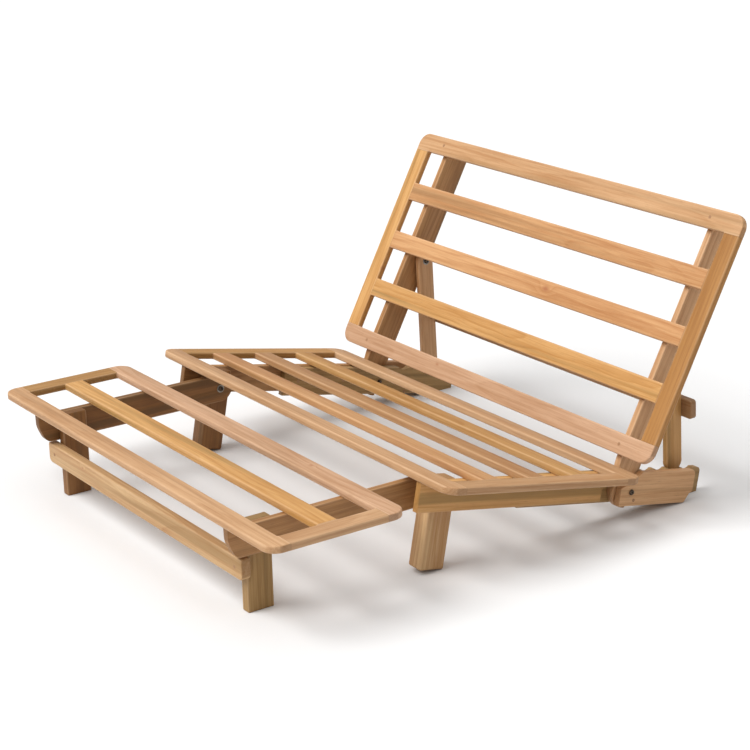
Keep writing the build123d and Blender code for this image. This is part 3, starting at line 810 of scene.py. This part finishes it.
METALS = {
    "zinc_steel": plated_material("Zinc plate", (0.22, 0.21, 0.19), (0.42, 0.40, 0.36), 0.22),
    "bronzed_steel": plated_material("Bronzed steel", (0.045, 0.035, 0.028),
                                     (0.13, 0.10, 0.075), 0.18),
}
for node, slot in slot_of_node.items():
    if slot in METALS:
        put_on(nodes[node], METALS[slot])
print("plated:", sorted(METALS))

# %% Plug wood
PLUG_FIBRE = (60.0, 700.0, 400.0)
PLUG_PALE = (0.42, 0.22, 0.10, 1)
PLUG_DEEP = (0.22, 0.11, 0.05, 1)
PLUG_ROUGH = (0.45, 0.65)


def plug_material():
    """Dark face-grain plugs."""
    material = bpy.data.materials.new("Plug wood")
    material.use_nodes = True
    sheet = Sheet(material.node_tree)
    shader = material.node_tree.nodes["Principled BSDF"]
    place = sheet.add("TexCoord").outputs["Object"]
    fibre = sheet.noise(place, PLUG_FIBRE, 3.0)
    colour = sheet.blend(fibre, PLUG_PALE, PLUG_DEEP)
    sheet.tree.links.new(colour, shader.inputs["Base Color"])
    rough = sheet.ramp(fibre, 0.0, 1.0, *PLUG_ROUGH)
    sheet.tree.links.new(rough, shader.inputs["Roughness"])
    return material


PLUG_WOOD = plug_material()
for node, slot in slot_of_node.items():
    if slot == "plug_wood":
        put_on(nodes[node], PLUG_WOOD)
print("hardware and plugs finished")

# %% [markdown]
# ## Floor, light and camera
# The floor is a plain white sheet. A big soft sun stands in for an overhead bank of
# studio lights to the front left, and the white surroundings, brighter above than at
# the horizon, fill the shade.

# %% Floor
FLOOR_SIZE = 60
PAPER_WHITE = 0.74
PAPER_ROUGH = 0.9
bpy.ops.object.select_all(action="DESELECT")
bpy.ops.mesh.primitive_plane_add(size=FLOOR_SIZE)
floor = bpy.context.object
floor.name = "studio_floor"
paper = bpy.data.materials.new("White paper")
paper.use_nodes = True
paper_shader = paper.node_tree.nodes["Principled BSDF"]
paper_shader.inputs["Base Color"].default_value = (PAPER_WHITE, PAPER_WHITE, PAPER_WHITE, 1)
paper_shader.inputs["Roughness"].default_value = PAPER_ROUGH
put_on(floor, paper)
print("floor", FLOOR_SIZE, "m across")

# %% Light
HORIZON_STRENGTH = 0.22
OVERHEAD_STRENGTH = 1.0
world = bpy.data.worlds.new("Studio")
bpy.context.scene.world = world
world.use_nodes = True
sky = Sheet(world.node_tree)
upward = sky.add("SeparateXYZ", {0: sky.add("TexCoord").outputs["Generated"]}).outputs[2]
background = world.node_tree.nodes["Background"]
background.inputs["Color"].default_value = (1.0, 1.0, 1.0, 1)
fill = sky.ramp(upward, 0.0, 1.0, HORIZON_STRENGTH, OVERHEAD_STRENGTH)
world.node_tree.links.new(fill, background.inputs["Strength"])


def sun(name, direction, strength, softness):
    """Soft light from a direction given as a point seen from the object."""
    light = bpy.data.lights.new(name, "SUN")
    light.energy = strength
    light.angle = math.radians(softness)
    lamp = bpy.data.objects.new(name, light)
    lamp.rotation_euler = Vector(direction).to_track_quat("Z", "Y").to_euler()
    bpy.context.scene.collection.objects.link(lamp)


sun("overhead_bank", direction=(-0.22, -0.72, 1.0), strength=2.75, softness=36)
bpy.context.scene.view_settings.view_transform = "Standard"
print("lights:", [light.name for light in bpy.data.lights])

# %% Camera
SENSOR_WIDTH = 36
LENS = 96.96
FRAMING_SHIFT = -0.04
azimuth, elevation, roll = math.radians(54.852), math.radians(18.428), math.radians(-1.094)
aim = Vector((-0.6287, 0.5474, 0.0384))
distance = 6.2174
back = Vector((math.sin(azimuth) * math.cos(elevation),
               -math.cos(azimuth) * math.cos(elevation), math.sin(elevation)))
camera_data = bpy.data.cameras.new("camera")
camera_data.sensor_width = SENSOR_WIDTH
camera_data.lens = LENS
camera_data.shift_x = FRAMING_SHIFT
camera = bpy.data.objects.new("camera", camera_data)
bpy.context.scene.collection.objects.link(camera)
camera.matrix_world = (Matrix.Translation(aim + back * distance)
                       @ back.to_track_quat("Z", "Y").to_matrix().to_4x4()
                       @ Matrix.Rotation(roll, 4, "Z"))
bpy.context.scene.camera = camera
print("camera", [round(v, 2) for v in camera.matrix_world.translation], "m from the origin")
